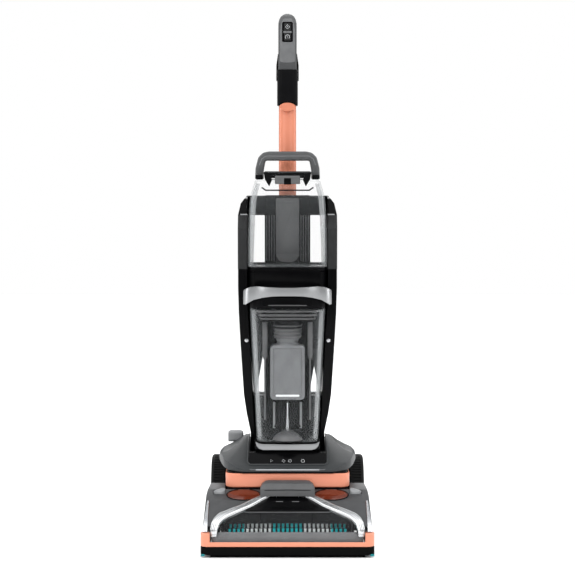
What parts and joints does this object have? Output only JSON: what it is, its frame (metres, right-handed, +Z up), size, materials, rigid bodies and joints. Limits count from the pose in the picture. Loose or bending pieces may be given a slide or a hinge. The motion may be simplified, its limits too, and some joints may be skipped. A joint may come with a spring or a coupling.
{
  "type": "carpet cleaner machine",
  "caption": "Upright carpet cleaner with a wide brush nozzle, reclining body, clear clean and dirty water tanks and a looped handle.",
  "frame": {"origin": "on the floor under the middle of the machine's box, which is the bumper's width and runs from the bumper's front to the back of the rear wheels", "axes": "+Z up; -Y is the front, where the nozzle is; +X is to the viewer's right when facing the front"},
  "size_m": [0.34, 0.43, 1.084],
  "materials": {
    "gloss_black_plastic": "gloss",
    "satin_black_plastic": "satin",
    "black_rubber": "matte",
    "wheel_plastic": "satin",
    "hood_grey_plastic": "satin",
    "grip_grey_plastic": "satin",
    "pale_grey_plastic": "satin",
    "button_plastic": "satin",
    "copper_plastic": "metallic gloss",
    "copper_tube": "satin metallic",
    "silver_plastic": "metallic gloss",
    "clear_plastic": "clear gloss",
    "smoke_plastic": "smoked clear gloss",
    "amber_plastic": "clear gloss",
    "bristle_nylon": "fibrous",
    "float_plastic": "satin",
    "motor_metal": "satin",
    "bright_steel": "brushed",
    "circuit_board": "satin"
  },
  "bodies": {
    "foot": {"foot_chassis": "satin_black_plastic", "foot_hood": "hood_grey_plastic", "hood_panel": "gloss_black_plastic", "copper_band": "copper_plastic", "side_housing_left": "hood_grey_plastic", "side_housing_right": "hood_grey_plastic", "copper_frame": "copper_plastic", "front_bumper": "black_rubber", "suction_lip": "black_rubber", "lens_left": "amber_plastic", "lens_right": "amber_plastic", "brush_motor": "motor_metal", "brush_belt": "black_rubber", "rear_axle": "bright_steel", "spray_bar": "satin_black_plastic", "foot_duct": "satin_black_plastic", "suction_motor": "motor_metal", "water_pump": "satin_black_plastic", "steam_heater": "motor_metal"},
    "nozzle_cover": {"nozzle_window": "smoke_plastic", "nozzle_arm_left": "silver_plastic", "nozzle_arm_right": "silver_plastic", "nozzle_latch": "hood_grey_plastic"},
    "front_brush": {"front_brush_roll": "bristle_nylon"},
    "rear_brush": {"rear_brush_roll": "bristle_nylon"},
    "motor_pulley": {"motor_pulley": "bright_steel"},
    "release_tab_left": {"release_tab_left": "pale_grey_plastic"},
    "release_tab_right": {"release_tab_right": "pale_grey_plastic"},
    "recline_pedal": {"recline_pedal": "pale_grey_plastic"},
    "wheel_left": {"wheel_left": "wheel_plastic"},
    "wheel_right": {"wheel_right": "wheel_plastic"},
    "front_roller_left": {"front_roller_left": "pale_grey_plastic"},
    "front_roller_right": {"front_roller_right": "pale_grey_plastic"},
    "impeller": {"impeller": "pale_grey_plastic"},
    "upright": {"body_frame": "satin_black_plastic", "mid_housing": "satin_black_plastic", "face_panel": "gloss_black_plastic", "side_pod_left": "gloss_black_plastic", "side_pod_right": "gloss_black_plastic", "rear_cover": "satin_black_plastic", "dock_shelf": "gloss_black_plastic", "control_board": "circuit_board", "handle_tube": "copper_tube", "handle_collar": "satin_black_plastic", "grip_shell": "grip_grey_plastic", "cord_gland": "black_rubber"},
    "cord_hook": {"cord_hook": "satin_black_plastic"},
    "trigger": {"trigger": "satin_black_plastic"},
    "button_lower": {"button_lower": "button_plastic"},
    "button_upper": {"button_upper": "button_plastic"},
    "hose_port_cap": {"hose_port_cap": "satin_black_plastic"},
    "clean_tank": {"clean_tank_shell": "clear_plastic", "clean_tank_base": "satin_black_plastic", "carry_handle": "grip_grey_plastic"},
    "fill_lid": {"fill_lid": "clear_plastic"},
    "dirty_tank": {"dirty_tank_shell": "clear_plastic", "dirty_tank_lid": "satin_black_plastic", "dirty_tank_handle": "silver_plastic", "separator_stack": "satin_black_plastic"},
    "tank_float": {"tank_float": "float_plastic"}
  },
  "joints": [
    {"name": "recline", "type": "hinge", "parent": "foot", "child": "upright", "pos_m": [0, 0.1, 0.1], "axis": [-1, 0, 0], "range_deg": [0, 55]},
    {"name": "wheel_left_spin", "type": "hinge", "parent": "foot", "child": "wheel_left", "pos_m": [0, 0.14, 0.075], "axis": [1, 0, 0], "continuous": true},
    {"name": "wheel_right_spin", "type": "hinge", "parent": "foot", "child": "wheel_right", "pos_m": [0, 0.14, 0.075], "axis": [1, 0, 0], "continuous": true},
    {"name": "roller_left_spin", "type": "hinge", "parent": "foot", "child": "front_roller_left", "pos_m": [0, -0.066, 0.012], "axis": [1, 0, 0], "continuous": true},
    {"name": "roller_right_spin", "type": "hinge", "parent": "foot", "child": "front_roller_right", "pos_m": [0, -0.066, 0.012], "axis": [1, 0, 0], "continuous": true},
    {"name": "front_brush_spin", "type": "hinge", "parent": "foot", "child": "front_brush", "pos_m": [0, -0.168, 0.026], "axis": [1, 0, 0], "continuous": true},
    {"name": "rear_brush_spin", "type": "hinge", "parent": "foot", "child": "rear_brush", "pos_m": [0, -0.117, 0.026], "axis": [1, 0, 0], "continuous": true},
    {"name": "motor_pulley_spin", "type": "hinge", "parent": "foot", "child": "motor_pulley", "pos_m": [0, -0.062, 0.048], "axis": [1, 0, 0], "continuous": true},
    {"name": "impeller_spin", "type": "hinge", "parent": "foot", "child": "impeller", "pos_m": [0, 0.015, 0.088], "axis": [0, 0, 1], "continuous": true},
    {"name": "pedal_press", "type": "hinge", "parent": "foot", "child": "recline_pedal", "pos_m": [0, 0.092, 0.15], "axis": [-1, 0, 0], "range_deg": [0, 15], "stiffness_Nm_per_rad": 0.6, "springref_deg": -11.46},
    {"name": "tab_left_press", "type": "slide", "parent": "foot", "child": "release_tab_left", "axis": [0, 0, -1], "range_m": [0, 0.003], "stiffness_N_per_m": 500, "springref_m": -0.002},
    {"name": "tab_right_press", "type": "slide", "parent": "foot", "child": "release_tab_right", "axis": [0, 0, -1], "range_m": [0, 0.003], "stiffness_N_per_m": 500, "springref_m": -0.002},
    {"name": "nozzle_lift", "type": "slide", "parent": "foot", "child": "nozzle_cover", "axis": [0, 0, 1], "range_m": [0, 0.07]},
    {"name": "cord_hook_turn", "type": "hinge", "parent": "upright", "child": "cord_hook", "pos_m": [0, 0.122, 0.56], "axis": [0, 1, 0], "range_deg": [0, 180]},
    {"name": "trigger_pull", "type": "hinge", "parent": "upright", "child": "trigger", "pos_m": [0, 0.117, 1.044], "axis": [1, 0, 0], "range_deg": [0, 8], "stiffness_Nm_per_rad": 0.4, "springref_deg": -8.59},
    {"name": "button_lower_press", "type": "slide", "parent": "upright", "child": "button_lower", "axis": [0, 1, 0], "range_m": [0, 0.0012], "stiffness_N_per_m": 800, "springref_m": -0.0006},
    {"name": "button_upper_press", "type": "slide", "parent": "upright", "child": "button_upper", "axis": [0, 1, 0], "range_m": [0, 0.0012], "stiffness_N_per_m": 800, "springref_m": -0.0006},
    {"name": "hose_cap_open", "type": "hinge", "parent": "upright", "child": "hose_port_cap", "pos_m": [0, 0.1252, 0.269], "axis": [1, 0, 0], "range_deg": [0, 100]},
    {"name": "clean_tank_lift", "type": "slide", "parent": "upright", "child": "clean_tank", "axis": [0, 0, 1], "range_m": [0, 0.18]},
    {"name": "fill_lid_open", "type": "hinge", "parent": "clean_tank", "child": "fill_lid", "pos_m": [0, -0.007, 0.742], "axis": [-1, 0, 0], "range_deg": [0, 75]},
    {"name": "dirty_tank_pull", "type": "slide", "parent": "upright", "child": "dirty_tank", "axis": [0, -1, 0], "range_m": [0, 0.18]},
    {"name": "float_rise", "type": "slide", "parent": "dirty_tank", "child": "tank_float", "axis": [0, 0, 1], "range_m": [0, 0.012]}
  ],
  "couplings": [
    {"joint": "rear_brush_spin", "follows": "front_brush_spin", "ratio": 1},
    {"joint": "motor_pulley_spin", "follows": "front_brush_spin", "ratio": 1.6667}
  ]
}
